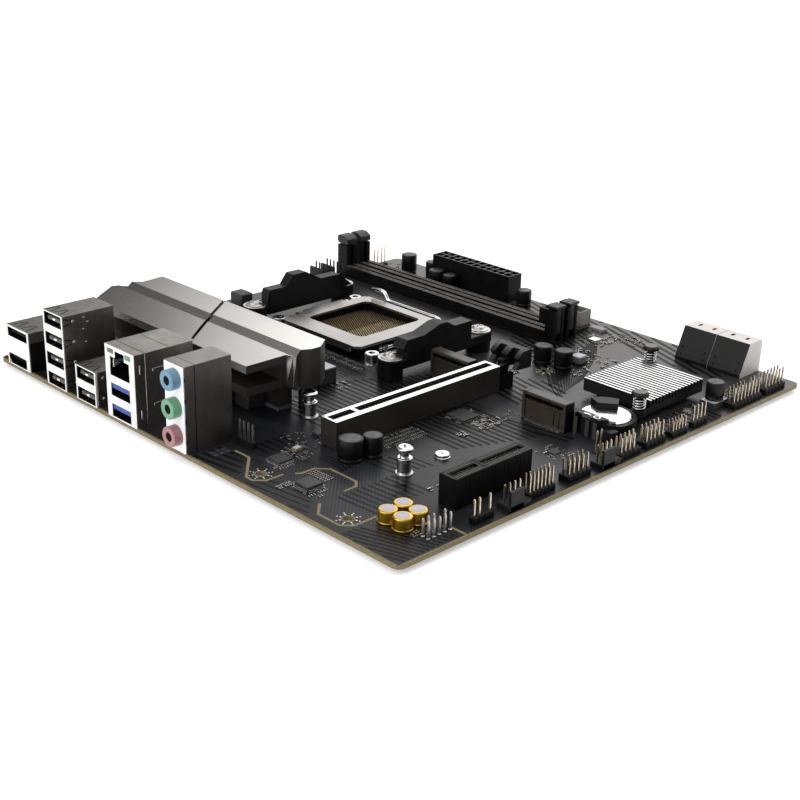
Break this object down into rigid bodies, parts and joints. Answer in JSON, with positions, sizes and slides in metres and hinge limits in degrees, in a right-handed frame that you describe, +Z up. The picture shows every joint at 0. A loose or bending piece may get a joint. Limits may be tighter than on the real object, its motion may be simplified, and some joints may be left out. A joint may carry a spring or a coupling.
{
  "type": "motherboard",
  "caption": "Micro-ATX motherboard: dark circuit board with a lidded processor socket, latched memory and card slots, metal coolers, stacked rear ports and pin headers.",
  "frame": {"origin": "middle of the footprint (board plus the audio jacks that stand 4 mm proud of the rear edge), on the plane of the lowest solder joints and the socket backplate", "axes": "+X from the rear port edge to the power connector edge, +Y from the pin header edge to the processor socket edge, +Z up out of the component side"},
  "size_m": [0.2402, 0.2438, 0.0374],
  "materials": {
    "pcb": "satin solder mask over dark laminate",
    "black_plastic": "moulded, fine satin",
    "steel": "bright, lightly brushed",
    "backplate_steel": "black coated",
    "nickel": "nickel plated, satin",
    "heatsink": "satin anodised",
    "heatsink_dark": "dark anodised, bright fin tops",
    "blue_plastic": "moulded",
    "jack_blue": "moulded",
    "jack_green": "moulded",
    "jack_pink": "moulded",
    "audio_housing": "dark sides, pale front",
    "contact_plastic": "contact field, gilt tips",
    "gold_can": "gold film on aluminium",
    "thermal_pad": "matt",
    "chip": "matt",
    "grey_plastic": "moulded, satin",
    "header": "moulded base with gilt pins",
    "m2_brown": "moulded, dark brown",
    "coin_steel": "bright stainless",
    "spring": "bright wire"
  },
  "bodies": {
    "board": {"pcb": "pcb", "socket_backplate": "backplate_steel", "socket_body": "contact_plastic", "socket_frame": "steel", "cooler_bracket_near": "black_plastic", "cooler_bracket_far": "black_plastic", "bracket_screw_1": "steel", "bracket_screw_2": "steel", "bracket_screw_3": "steel", "bracket_screw_4": "steel", "vrm_heatsink": "heatsink", "vrm_thermal_pad": "thermal_pad", "network_usb_housing": "nickel", "usb_tongue_upper": "blue_plastic", "usb_tongue_lower": "blue_plastic", "audio_jack_housing": "audio_housing", "audio_jack_blue": "jack_blue", "audio_jack_green": "jack_green", "audio_jack_pink": "jack_pink", "usb_stack_4": "nickel", "usb_stack_2": "nickel", "video_port_stack": "nickel", "dimm_slot_1": "black_plastic", "dimm_slot_2": "black_plastic", "x16_slot_body": "black_plastic", "x16_slot_shell": "steel", "x4_slot": "black_plastic", "m2_socket_1": "m2_brown", "m2_socket_2": "m2_brown", "m2_standoff_1": "steel", "m2_standoff_2": "steel", "m2_screw_1": "steel", "m2_screw_2": "steel", "chipset": "chip", "chipset_heatsink": "heatsink_dark", "pin_spring_1": "spring", "pin_spring_2": "spring", "battery_holder": "black_plastic", "coin_cell": "coin_steel", "atx_power_24": "black_plastic", "cpu_power_8": "black_plastic", "sata_ports_1": "grey_plastic", "sata_ports_2": "grey_plastic", "audio_header": "header", "pin_header": "header", "fan_header": "header", "audio_capacitor_1": "gold_can", "audio_capacitor_2": "gold_can", "audio_capacitor_3": "gold_can", "audio_capacitor_4": "gold_can"},
    "load_plate": {"load_plate": "steel"},
    "socket_lever": {"socket_lever": "steel"},
    "dimm_latch_near_1": {"dimm_latch_near_1": "black_plastic"},
    "dimm_latch_near_2": {"dimm_latch_near_2": "black_plastic"},
    "dimm_latch_far_1": {"dimm_latch_far_1": "black_plastic"},
    "dimm_latch_far_2": {"dimm_latch_far_2": "black_plastic"},
    "x16_slot_latch": {"x16_slot_latch": "black_plastic"},
    "push_pin_1": {"push_pin_1": "black_plastic"},
    "push_pin_2": {"push_pin_2": "black_plastic"}
  },
  "joints": [
    {"name": "load_plate_hinge", "type": "hinge", "parent": "board", "child": "load_plate", "pos_m": [0.0201, 0.06858, 0.0092], "axis": [-1, 0, 0], "range_deg": [0, 110]},
    {"name": "socket_lever_hinge", "type": "hinge", "parent": "board", "child": "socket_lever", "pos_m": [0.0259, 0.01658, 0.0072], "axis": [1, 0, 0], "range_deg": [0, 110]},
    {"name": "dimm_latch_near_1_hinge", "type": "hinge", "parent": "board", "child": "dimm_latch_near_1", "pos_m": [0.0788, -0.02052, 0.0078], "axis": [1, 0, 0], "range_deg": [0, 25]},
    {"name": "dimm_latch_far_1_hinge", "type": "hinge", "parent": "board", "child": "dimm_latch_far_1", "pos_m": [0.0788, 0.11768, 0.0078], "axis": [-1, 0, 0], "range_deg": [0, 25]},
    {"name": "dimm_latch_near_2_hinge", "type": "hinge", "parent": "board", "child": "dimm_latch_near_2", "pos_m": [0.08815, -0.02052, 0.0078], "axis": [1, 0, 0], "range_deg": [0, 25]},
    {"name": "dimm_latch_far_2_hinge", "type": "hinge", "parent": "board", "child": "dimm_latch_far_2", "pos_m": [0.08815, 0.11768, 0.0078], "axis": [-1, 0, 0], "range_deg": [0, 25]},
    {"name": "x16_latch_hinge", "type": "hinge", "parent": "board", "child": "x16_slot_latch", "pos_m": [0.0211, -0.04082, 0.0074], "axis": [0, 1, 0], "range_deg": [0, 20]},
    {"name": "push_pin_1_travel", "type": "slide", "parent": "board", "child": "push_pin_1", "axis": [0, 0, 1], "range_m": [-0.001, 0], "stiffness_N_per_m": 400, "springref_m": 0.002, "deforming": ["pin_spring_1"]},
    {"name": "push_pin_2_travel", "type": "slide", "parent": "board", "child": "push_pin_2", "axis": [0, 0, 1], "range_m": [-0.001, 0], "stiffness_N_per_m": 400, "springref_m": 0.002, "deforming": ["pin_spring_2"]}
  ]
}
